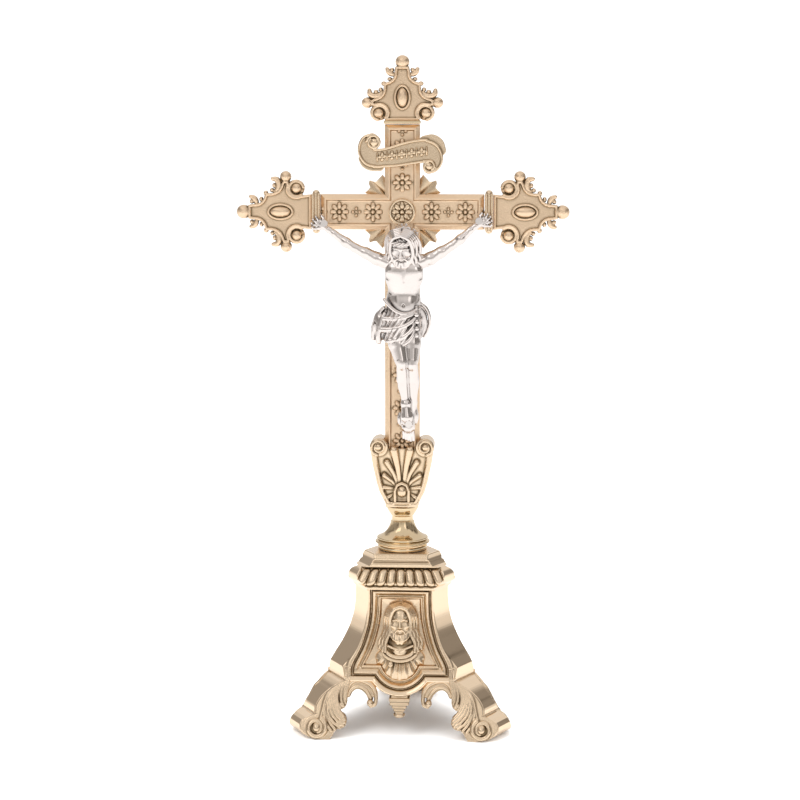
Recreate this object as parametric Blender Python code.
"""Altar cross: a cast brass base, a turned stem, a shell knop and a framed cross with a silvered figure.

Metres, +Z up. The object stands on Z = 0, its front faces -Y, and the origin is the middle of its bounding
box at the table. Lengths below are written in millimetres and turned into metres by MM. Everything hangs from
one empty on the stem's axis, so coordinates in the functions are measured from that axis.
"""

import math

import bmesh
import bpy
from mathutils import Matrix, Vector

MM = 0.001

# Driving dimensions, in millimetres.
TOTAL_HEIGHT = 360.0
CROSSING_Z = 278.0
BAR_HALF_WIDTH = 9.3
BAR_HALF_DEPTH = 3.0
BORDER_WIDTH = 2.3
PANEL_DEPTH = 0.8
ARM_END_X = 43.3
ARM_END_Z = 324.0
COLLAR_LENGTH = 4.6
TOP_COLLAR_HEIGHT = 1.6
FLEURON_LENGTH = 40.0
PLATE_TOP_Z = 95.8
WALL = 3.0
FOOT_INNER_REACH = 46.0
FOOT_SOLID_HEIGHT = 12.0
GAP = 0.3
TENON_Z = 144.0
KNOP_FOOT_Z = 119.6
KNOP_TOP_Z = 154.5
ROD_RADIUS = 2.0
STUD_RADIUS = 1.2
STUD_DEPTH = 7.0
SCREW_RADIUS = 0.9

# The base's section is a hexagon of three wide faces and three narrow corner bands. Each row is a height, the
# axis's distance to a face, and the axis's distance to a corner band.
BASE_SECTIONS = [
    (0.0, 40.8, 55.5),
    (1.6, 40.4, 61.5),
    (5.0, 39.6, 65.0),
    (9.0, 38.4, 62.6),
    (11.4, 37.6, 55.0),
    (16.2, 36.0, 53.6),
    (20.5, 34.3, 51.7),
    (24.0, 32.8, 48.6),
    (27.0, 31.5, 44.4),
    (29.2, 30.5, 40.2),
    (30.6, 29.8, 39.2),
    (36.9, 27.7, 39.2),
    (41.5, 25.5, 35.0),
    (46.4, 23.5, 31.6),
    (52.0, 21.5, 28.7),
    (57.5, 20.0, 26.7),
    (68.7, 18.3, 25.0),
    (76.5, 18.3, 25.0),
    (78.6, 19.9, 26.4),
    (82.8, 21.6, 28.8),
    (86.0, 20.2, 28.0),
    (89.0, 17.2, 24.0),
    (92.0, 16.2, 21.4),
    (PLATE_TOP_Z, 15.1, 19.7),
]
FRONT_REACH = BASE_SECTIONS[0][1]
BACK_REACH = max(row[2] for row in BASE_SECTIONS)
STEM_Y = (FRONT_REACH - BACK_REACH) / 2
SIDES = (("left", -1), ("right", 1))


# Materials


def make_material(name, colour, roughness, metallic):
    made = bpy.data.materials.new(name)
    made.use_nodes = True
    shader = made.node_tree.nodes["Principled BSDF"]
    shader.inputs["Base Color"].default_value = (*colour, 1.0)
    shader.inputs["Roughness"].default_value = roughness
    shader.inputs["Metallic"].default_value = metallic
    made.diffuse_color = (*colour, 1.0)
    return made


def make_materials():
    return {
        "cast_brass": make_material("cast_brass", (0.72, 0.56, 0.34), 0.32, 1.0),
        "polished_brass": make_material("polished_brass", (0.80, 0.63, 0.38), 0.15, 1.0),
        "silver_plate": make_material("silver_plate", (0.90, 0.89, 0.88), 0.12, 1.0),
        "steel": make_material("steel", (0.55, 0.55, 0.56), 0.35, 1.0),
    }


# Shape helpers. Points are millimetres from the stem's axis, and the meshes are metres.


def to_object(name, bm, material, stem):
    bmesh.ops.recalc_face_normals(bm, faces=bm.faces)
    if bm.calc_volume(signed=True) < 0:
        bmesh.ops.reverse_faces(bm, faces=bm.faces)
    mesh = bpy.data.meshes.new(name)
    bm.to_mesh(mesh)
    bm.free()
    mesh.shade_smooth()
    mesh.set_sharp_from_angle(angle=math.radians(35))
    made = bpy.data.objects.new(name, mesh)
    bpy.context.scene.collection.objects.link(made)
    made.parent = stem
    if material:
        mesh.materials.append(material)
    return made


def loft(rings):
    """A closed body through rings of points, each ring with as many points as the next."""
    bm = bmesh.new()
    made = [[bm.verts.new(Vector(p) * MM) for p in ring] for ring in rings]
    count = len(rings[0])
    for low, high in zip(made, made[1:]):
        for i in range(count):
            j = (i + 1) % count
            bm.faces.new((low[i], low[j], high[j], high[i]))
    bm.faces.new(made[0][::-1])
    bm.faces.new(made[-1])
    return bm


def prism(outline, y_front, y_back):
    """An outline of (x, z) points pushed from y_front to y_back."""
    return loft([[(x, y, z) for x, z in outline] for y in (y_front, y_back)])


def turned(profile, segments):
    """A closed (radius, z) outline carried round the axis, so the body has a bore."""
    bm = bmesh.new()
    rings = []
    for i in range(segments):
        turn = Matrix.Rotation(2 * math.pi * i / segments, 3, "Z")
        rings.append([bm.verts.new(turn @ Vector((r, 0, z)) * MM) for r, z in profile])
    for this, after in zip(rings, rings[1:] + rings[:1]):
        for j in range(len(profile)):
            k = (j + 1) % len(profile)
            bm.faces.new((this[j], after[j], after[k], this[k]))
    return bm


def rod(start, end, radius, segments=16):
    """A cylinder, or a hexagon with six segments, between two points."""
    start, end = Vector(start), Vector(end)
    along = end - start
    bm = bmesh.new()
    bmesh.ops.create_cone(
        bm,
        cap_ends=True,
        segments=segments,
        radius1=radius * MM,
        radius2=radius * MM,
        depth=along.length * MM,
    )
    turn = along.to_track_quat("Z", "Y").to_matrix().to_4x4()
    bm.transform(Matrix.Translation((start + end) / 2 * MM) @ turn)
    return bm


def ball(centre, radii, u_segments=14, v_segments=8):
    bm = bmesh.new()
    bmesh.ops.create_uvsphere(bm, u_segments=u_segments, v_segments=v_segments, radius=MM)
    bm.transform(Matrix.Translation(Vector(centre) * MM) @ Matrix.Diagonal((*radii, 1.0)))
    return bm


def block(low, high):
    """A box between two corners."""
    corners = [(low[0], low[1]), (high[0], low[1]), (high[0], high[1]), (low[0], high[1])]
    return loft([[(x, y, z) for x, y in corners] for z in (low[2], high[2])])


def combine(target, operation, bm, stem):
    """Joins a shape to the target, or cuts it away, with a Boolean whose operand is a hidden helper."""
    helper = to_object(f"{target.name}_helper", bm, None, stem)
    helper.hide_render = True
    helper.display_type = "WIRE"
    modifier = target.modifiers.new(operation.lower(), "BOOLEAN")
    modifier.operation = operation
    modifier.solver = "EXACT"
    modifier.object = helper


def cut(target, bm, stem):
    combine(target, "DIFFERENCE", bm, stem)


def join(target, bm, stem):
    combine(target, "UNION", bm, stem)


def arc(centre, radius, start, end, steps):
    """Points of a circular arc in (x, z), with angles in degrees."""
    points = []
    for i in range(steps + 1):
        angle = math.radians(start + (end - start) * i / steps)
        points.append((centre[0] + radius * math.cos(angle), centre[1] + radius * math.sin(angle)))
    return points


def mirrored(half):
    """A right-hand outline from bottom to top, closed by its mirror image on the left."""
    return half + [(-x, z) for x, z in reversed(half) if x > 1e-6]


# Base


def hexagon(z, face, band):
    """The base's section, with faces at distance face from the axis and corner bands at distance band."""
    half_face = (band - face / 2) / math.sin(math.radians(60))
    points = []
    for k in range(3):
        turn = Matrix.Rotation(math.radians(120 * k), 3, "Z")
        for side in (-1, 1):
            points.append(turn @ Vector((side * half_face, -face, z)))
    return points


def arch_outline():
    """The opening under a face between two legs: leaf toes, scroll tips, skirt edge and pendant."""
    half = [(0.0, -6.0), (42.0, -6.0), (41.5, 0.6), (37.0, 2.6), (34.4, 5.8)]
    half += arc((30.8, 8.0), 2.8, 330, 170, 5)
    half += [(29.3, 13.6), (29.9, 16.4)]
    half += arc((21.8, 15.8), 7.2, 20, 110, 6)
    half += arc((14.6, 18.4), 2.9, 30, -190, 7)
    half += [(10.6, 22.6), (6.4, 21.4), (6.0, 19.4), (3.6, 15.8), (3.2, 13.0), (1.8, 11.0), (0.0, 10.6)]
    return mirrored(half)


def make_base(materials, stem):
    rings = [hexagon(*row) for row in BASE_SECTIONS]
    base = to_object("base_casting", loft(rings), materials["cast_brass"], stem)
    hollow = [hexagon(-6.0, FRONT_REACH - WALL, FOOT_INNER_REACH)]
    for z, face, band in BASE_SECTIONS:
        if z < PLATE_TOP_Z - 2 * WALL:
            reach = FOOT_INNER_REACH if z < FOOT_SOLID_HEIGHT else band - WALL
            hollow.append(hexagon(z, face - WALL, reach))
    cut(base, loft(hollow), stem)
    for k in range(3):
        arch = prism(arch_outline(), -70.0, -12.0)
        arch.transform(Matrix.Rotation(math.radians(120 * k), 4, "Z"))
        cut(base, arch, stem)
    cut(base, rod((0, 0, 80), (0, 0, 100), ROD_RADIUS + GAP), stem)


# Stem, knop and the rod that ties them down


def make_stem(materials, stem):
    foot = PLATE_TOP_Z + GAP
    bore = ROD_RADIUS + GAP
    profile = [(bore, foot), (13.2, foot), (13.4, foot + 1.8), (14.4, foot + 2.5)]
    profile += [(15.0, foot + 3.6), (15.0, foot + 4.6), (14.2, foot + 5.6), (13.4, foot + 6.0)]
    bell = arc((13.4, foot + 13.4), 7.4, 270, 186, 6)
    profile += bell
    profile += [(6.3, 109.4), (5.8, 111.0), (6.0, 112.6), (7.1, 113.4), (7.9, 114.8)]
    profile += [(8.6, 117.0), (8.8, 118.6), (8.4, KNOP_FOOT_Z - GAP), (bore, KNOP_FOOT_Z - GAP)]
    return to_object("stem_turning", turned(profile, 40), materials["polished_brass"], stem)


def knop_section(z, half_width, half_depth, points=20):
    """A rounded box seen from above."""
    ring = []
    for i in range(points):
        angle = 2 * math.pi * i / points
        c, s = math.cos(angle), math.sin(angle)
        ring.append(
            (
                half_width * math.copysign(abs(c) ** 0.75, c),
                half_depth * math.copysign(abs(s) ** 0.75, s),
                z,
            )
        )
    return ring


def make_knop(materials, stem):
    rows = [
        (KNOP_FOOT_Z, 8.2, 7.6),
        (121.4, 9.4, 7.8),
        (127.7, 12.0, 7.2),
        (133.3, 13.8, 7.0),
        (141.0, 15.9, 7.2),
        (147.0, 17.2, 7.8),
        (151.0, 17.4, 8.2),
        (KNOP_TOP_Z, 15.0, 7.2),
    ]
    body = loft([knop_section(*row) for row in rows])
    knop = to_object("shell_knop", body, materials["cast_brass"], stem)
    for side in (-1, 1):
        join(knop, rod((side * 13.6, -7.6, 152.4), (side * 13.6, 7.6, 152.4), 3.9), stem)
    low = (-BAR_HALF_WIDTH - GAP, -BAR_HALF_DEPTH - GAP, TENON_Z - GAP)
    high = (BAR_HALF_WIDTH + GAP, BAR_HALF_DEPTH + GAP, KNOP_TOP_Z + 4)
    cut(knop, block(low, high), stem)
    cut(knop, rod((0, 0, KNOP_FOOT_Z - 2), (0, 0, TENON_Z + 1), ROD_RADIUS + GAP), stem)


def make_tie_rod(materials, stem):
    """The threaded rod that pulls cross, knop, stem and base together, with its washer and nut."""
    top, ceiling = 156.0, 87.0
    rod_object = rod((0, 0, ceiling - 8), (0, 0, top), ROD_RADIUS, 14)
    to_object("tie_rod", rod_object, materials["steel"], stem)
    bore = ROD_RADIUS + GAP
    washer = [(bore, ceiling - 1.4), (6.0, ceiling - 1.4), (6.0, ceiling - GAP), (bore, ceiling - GAP)]
    to_object("tie_rod_washer", turned(washer, 24), materials["steel"], stem)
    hexagon_body = rod((0, 0, ceiling - 5), (0, 0, ceiling - 1.7), 4.0, 6)
    nut = to_object("tie_rod_nut", hexagon_body, materials["steel"], stem)
    cut(nut, rod((0, 0, ceiling - 7), (0, 0, ceiling), bore, 14), stem)


# Cross


def cross_outline():
    """The bar's front outline, from the tenon's foot round the arms to the top."""
    w, arm, low, high = BAR_HALF_WIDTH, ARM_END_X, CROSSING_Z - BAR_HALF_WIDTH, CROSSING_Z + BAR_HALF_WIDTH
    half = [(w, TENON_Z), (w, low), (arm, low), (arm, high), (w, high), (w, ARM_END_Z)]
    return mirrored(half)


def make_cross(materials, stem):
    bm = prism(cross_outline(), -BAR_HALF_DEPTH, BAR_HALF_DEPTH)
    bmesh.ops.recalc_face_normals(bm, faces=bm.faces)
    front = [f for f in bm.faces if f.normal.y < -0.9]
    bmesh.ops.inset_region(bm, faces=front, thickness=BORDER_WIDTH * MM, depth=0, use_even_offset=True)
    for vertex in {v for f in front for v in f.verts}:
        vertex.co.y += PANEL_DEPTH * MM
    cross = to_object("cross_body", bm, materials["cast_brass"], stem)
    bore = STUD_RADIUS + GAP
    cut(cross, rod((0, 0, TENON_Z - 2), (0, 0, 156.5), ROD_RADIUS + GAP, 14), stem)
    for side in (-1, 1):
        start, end = side * (ARM_END_X - STUD_DEPTH), side * (ARM_END_X + 2)
        cut(cross, rod((start, 0, CROSSING_Z), (end, 0, CROSSING_Z), bore, 12), stem)
    cut(cross, rod((0, 0, ARM_END_Z - STUD_DEPTH), (0, 0, ARM_END_Z + 2), bore, 12), stem)
    through = [(0.0, CROSSING_Z), (0.0, TITULUS_Z), *SCREW_PLACES.values()]
    for x, z in through:
        cut(cross, rod((x, -6, z), (x, 6, z), bore, 12), stem)


# Where the screws that hold the figure pass through the bar, as (x, z).
SCREW_PLACES = {"left_hand": (-40.9, 272.2), "right_hand": (40.7, 273.6), "foot": (4.0, 166.0)}
TITULUS_Z = 308.0


def make_collars(materials, stem):
    """The band between each arm and its fleuron. The side ones end in small balls."""
    near, far = ARM_END_X + GAP, ARM_END_X + GAP + COLLAR_LENGTH
    for name, side in SIDES:
        low = (min(side * near, side * far), -4.0, CROSSING_Z - 9.6)
        high = (max(side * near, side * far), 4.0, CROSSING_Z + 9.6)
        collar = to_object(f"{name}_collar", block(low, high), materials["polished_brass"], stem)
        middle = side * (near + far) / 2
        for end in (-1, 1):
            join(collar, ball((middle, 0, CROSSING_Z + end * 9.8), (2.1, 3.0, 2.0), 12, 6), stem)
        start, end = (side * (near - 2), 0, CROSSING_Z), (side * (far + 2), 0, CROSSING_Z)
        cut(collar, rod(start, end, STUD_RADIUS + GAP, 12), stem)
    low, high = (-9.6, -3.8, ARM_END_Z + GAP), (9.6, 3.8, ARM_END_Z + GAP + TOP_COLLAR_HEIGHT)
    collar = to_object("top_collar", block(low, high), materials["polished_brass"], stem)
    cut(collar, rod((0, 0, ARM_END_Z - 1), (0, 0, ARM_END_Z + 4), STUD_RADIUS + GAP, 12), stem)


def fleuron_outline(neck):
    """Half of a fleuron's outline, pointing up from its foot: neck, scroll, side point, steps and tip."""
    half = [(0.0, 0.0), (8.0, 0.0), (8.2, neck + 0.4)]
    half += arc((11.4, neck + 2.6), 2.8, 220, 380, 6)
    half += [(15.2, neck + 7.0), (17.6, neck + 8.6), (15.2, neck + 10.4)]
    half += arc((12.6, neck + 13.8), 2.0, 330, 430, 4)
    half += [(9.6, neck + 15.6), (8.2, neck + 18.4)]
    half += arc((5.9, neck + 22.2), 2.6, 340, 450, 4)
    half += [(3.0, neck + 25.6), (2.2, neck + 28.4), (0.0, neck + 29.0)]
    return mirrored(half)


def make_fleuron(name, turn, bar_end, start, neck, tip, materials, stem):
    """One end piece, built pointing up and then turned about the crossing's Y axis onto its arm."""
    place = Matrix.Translation(Vector((0, 0, CROSSING_Z)) * MM) @ Matrix.Rotation(turn, 4, "Y")
    place = place @ Matrix.Translation(Vector((0, 0, start)) * MM)
    ball_radius = 3.2

    def placed(bm):
        bm.transform(place)
        return bm

    plate = placed(prism(fleuron_outline(neck), -2.0, 2.0))
    fleuron = to_object(f"{name}_fleuron", plate, materials["cast_brass"], stem)
    for x, z in ((-17.4, neck + 8.6), (17.4, neck + 8.6), (0.0, tip - ball_radius)):
        join(fleuron, placed(ball((x, 0, z), (ball_radius,) * 3, 12, 8)), stem)
    join(fleuron, placed(ball((0, -1.6, neck + 10.0), (2.7, 2.4, 6.2), 14, 8)), stem)
    cut(fleuron, placed(rod((0, 0, -2), (0, 0, 6.5), STUD_RADIUS + GAP, 12)), stem)
    stud = placed(rod((0, 0, bar_end - start - STUD_DEPTH + 0.5), (0, 0, 6.0), STUD_RADIUS, 12))
    to_object(f"{name}_fleuron_stud", stud, materials["steel"], stem)


def make_fleurons(materials, stem):
    side_start = ARM_END_X + COLLAR_LENGTH + 2 * GAP
    top_end = ARM_END_Z - CROSSING_Z
    top_start = top_end + TOP_COLLAR_HEIGHT + 2 * GAP
    top_tip = TOTAL_HEIGHT - CROSSING_Z - top_start
    for name, side in SIDES:
        turn = side * math.radians(90)
        make_fleuron(name, turn, ARM_END_X, side_start, 5.4, FLEURON_LENGTH, materials, stem)
    make_fleuron("top", 0.0, top_end, top_start, 1.0, top_tip, materials, stem)


def glory_outline():
    """A plate behind the crossing that shows as a stepped fan of rays in each of the four corners."""
    quarter = [(17.6, -8.6), (20.3, -9.9), (17.4, -12.7), (17.8, -16.6)]
    quarter += [(14.2, -15.8), (10.8, -19.6), (9.4, -17.6)]
    right = [(x, CROSSING_Z + z) for x, z in reversed(quarter)] + [(x, CROSSING_Z - z) for x, z in quarter]
    return right + [(-x, z) for x, z in reversed(right)]


def make_glory(materials, stem):
    back = BAR_HALF_DEPTH + GAP
    body = prism(glory_outline(), back, back + 1.8)
    plate = to_object("glory_plate", body, materials["cast_brass"], stem)
    cut(plate, rod((0, 0, CROSSING_Z), (0, 8, CROSSING_Z), STUD_RADIUS + GAP, 12), stem)


def make_rosette(materials, stem):
    """The round boss on the crossing. Its cast stud goes through the bar and the glory plate to a nut."""
    floor = PANEL_DEPTH - BAR_HALF_DEPTH - GAP
    disc = rod((0, floor - 1.9, CROSSING_Z), (0, floor, CROSSING_Z), 6.3, 28)
    rosette = to_object("crossing_rosette", disc, materials["cast_brass"], stem)
    join(rosette, rod((0, floor - 1, CROSSING_Z), (0, 8.0, CROSSING_Z), STUD_RADIUS, 12), stem)


def make_nut(name, x, z, y_start, materials, stem):
    body = rod((x, y_start, z), (x, y_start + 2.0, z), 2.9, 6)
    nut = to_object(name, body, materials["polished_brass"], stem)
    cut(nut, rod((x, y_start - 1, z), (x, y_start + 3, z), STUD_RADIUS + GAP, 12), stem)


def titulus_outline():
    """The name scroll: a slanting band whose left end curls up and whose right end curls down."""
    points = [(-13.0, 301.4), (11.3, 304.2)]
    points += arc((15.0, 301.9), 3.9, 170, 330, 5)
    points += [(20.6, 303.4), (21.6, 307.6), (20.2, 312.6), (16.0, 315.8), (12.6, 316.2), (-11.6, 311.4)]
    points += arc((-15.4, 315.6), 4.2, -10, 120, 5)
    points += [(-21.4, 317.0), (-23.4, 311.6), (-22.0, 305.8), (-18.6, 302.6)]
    return points


def make_titulus(materials, stem):
    back = -BAR_HALF_DEPTH - GAP
    body = prism(titulus_outline(), back - 2.9, back)
    scroll = to_object("titulus_scroll", body, materials["cast_brass"], stem)
    join(scroll, rod((0, back - 1.5, TITULUS_Z), (0, 6.4, TITULUS_Z), STUD_RADIUS, 12), stem)


# Figure


def add_ball(bm, centre, radii, segments, rings):
    """Adds one more ellipsoid to a mesh that already holds some."""
    part = ball(centre, radii, segments, rings)
    mesh = bpy.data.meshes.new("mass")
    part.to_mesh(mesh)
    part.free()
    bm.from_mesh(mesh)
    bpy.data.meshes.remove(mesh)


def figure_body():
    """The figure without its arms, as overlapping ellipsoids from the hair down to the feet."""
    masses = [
        ((1.6, -14.2, 262.4), (7.4, 7.0, 8.6)),
        ((3.6, -12.2, 259.6), (8.4, 5.6, 8.8)),
        ((1.2, -11.0, 253.0), (6.0, 5.0, 5.0)),
        ((1.0, -9.6, 248.0), (11.6, 5.2, 5.4)),
        ((0.9, -9.8, 243.0), (10.0, 6.2, 9.0)),
        ((0.8, -9.2, 232.6), (8.9, 5.2, 8.6)),
        ((-1.0, -9.4, 221.0), (10.6, 6.6, 8.6)),
        ((-8.0, -9.2, 214.6), (7.6, 6.6, 8.4)),
        ((9.8, -7.0, 218.0), (5.8, 3.2, 8.4)),
        ((1.4, -10.6, 207.0), (8.8, 6.6, 9.6)),
        ((3.2, -11.6, 197.0), (6.6, 6.0, 7.4)),
        ((3.4, -9.8, 185.6), (5.6, 5.0, 10.4)),
        ((3.6, -8.2, 174.0), (5.2, 4.2, 8.6)),
        ((3.9, -8.4, 165.6), (5.6, 4.4, 6.6)),
        ((3.6, -9.2, 159.4), (3.2, 3.4, 4.4)),
    ]
    bm = bmesh.new()
    for centre, radii in masses:
        add_ball(bm, centre, radii, 24, 16)
    return bm


def fuse(target, voxel, kept):
    """Welds overlapping masses into one skin, then thins it."""
    skin = target.modifiers.new("skin", "REMESH")
    skin.mode = "VOXEL"
    skin.voxel_size = voxel * MM
    thin = target.modifiers.new("thin", "DECIMATE")
    thin.ratio = kept


def make_figure(materials, stem):
    silver = materials["silver_plate"]
    body = to_object("corpus_body", figure_body(), silver, stem)
    fuse(body, 1.0, 0.14)
    foot_x, foot_z = SCREW_PLACES["foot"]
    for side in (-1, 1):
        low = (min(side * 12.4 + 1, side * 20 + 1), -24, 236)
        high = (max(side * 12.4 + 1, side * 20 + 1), 2, 258)
        cut(body, block(low, high), stem)
    cut(body, block((-30, -BAR_HALF_DEPTH - GAP, 140), (30, 6, 290)), stem)
    cut(body, rod((foot_x, -20, foot_z), (foot_x, 0, foot_z), SCREW_RADIUS + GAP, 12), stem)
    for name, side in SIDES:
        screw_x, screw_z = SCREW_PLACES[f"{name}_hand"]
        make_arm(name, side, screw_x, screw_z, silver, stem)


def make_arm(name, side, screw_x, screw_z, silver, stem):
    """Upper arm, forearm and open hand, cut flat where it meets the shoulder."""
    shoulder = Vector((side * 12.0 + 1, -9.4, 250.6))
    elbow = Vector((side * 27.0 + 0.5, -9.0, 259.8))
    wrist = Vector((side * 39.0, -6.8, 269.6))
    palm = Vector((side * 43.4, -6.2, screw_z + 0.8))
    bm = bmesh.new()
    bones = ((shoulder, elbow, 4.2, 2.9), (elbow, wrist, 3.0, 1.9), (wrist, palm, 1.9, 1.8))
    for start, end, first, last in bones:
        for i in range(7):
            share = i / 6
            radius = first + (last - first) * share
            add_ball(bm, start.lerp(end, share), (radius,) * 3, 16, 10)
    add_ball(bm, palm, (3.9, 1.6, 3.6), 18, 12)
    arm = to_object(f"corpus_{name}_arm", bm, silver, stem)
    fuse(arm, 0.7, 0.16)
    inner = (min(side * 12.7 + 1, 0), -24, 236)
    outer = (max(side * 12.7 + 1, 0), 2, 262)
    cut(arm, block(inner, outer), stem)
    cut(arm, block((-60, -4.0 - GAP, 230), (60, 6, 290)), stem)
    cut(arm, rod((screw_x, -20, screw_z), (screw_x, 0, screw_z), SCREW_RADIUS + GAP, 12), stem)


def make_screw(name, place, head_y, materials, stem):
    """A round-headed screw from the figure's front through the bar, with its nut behind."""
    x, z = place
    head = rod((x, head_y, z), (x, head_y + 0.9, z), 1.9, 16)
    screw = to_object(f"{name}_screw", head, materials["silver_plate"], stem)
    join(screw, rod((x, head_y + 0.4, z), (x, 6.4, z), SCREW_RADIUS, 12), stem)
    make_nut(f"{name}_nut", x, z, BAR_HALF_DEPTH + GAP, materials, stem)


def main():
    for old in list(bpy.data.objects):
        bpy.data.objects.remove(old)
    stem = bpy.data.objects.new("stem_axis", None)
    stem.location = (0, STEM_Y * MM, 0)
    bpy.context.scene.collection.objects.link(stem)
    materials = make_materials()
    make_base(materials, stem)
    make_stem(materials, stem)
    make_knop(materials, stem)
    make_tie_rod(materials, stem)
    make_cross(materials, stem)
    make_collars(materials, stem)
    make_fleurons(materials, stem)
    make_glory(materials, stem)
    make_rosette(materials, stem)
    make_nut("rosette_nut", 0.0, CROSSING_Z, BAR_HALF_DEPTH + 2 * GAP + 1.8, materials, stem)
    make_titulus(materials, stem)
    make_nut("titulus_nut", 0.0, TITULUS_Z, BAR_HALF_DEPTH + GAP, materials, stem)
    make_figure(materials, stem)
    make_screw("left_hand", SCREW_PLACES["left_hand"], -9.6, materials, stem)
    make_screw("right_hand", SCREW_PLACES["right_hand"], -9.6, materials, stem)
    make_screw("foot", SCREW_PLACES["foot"], -14.2, materials, stem)


main()
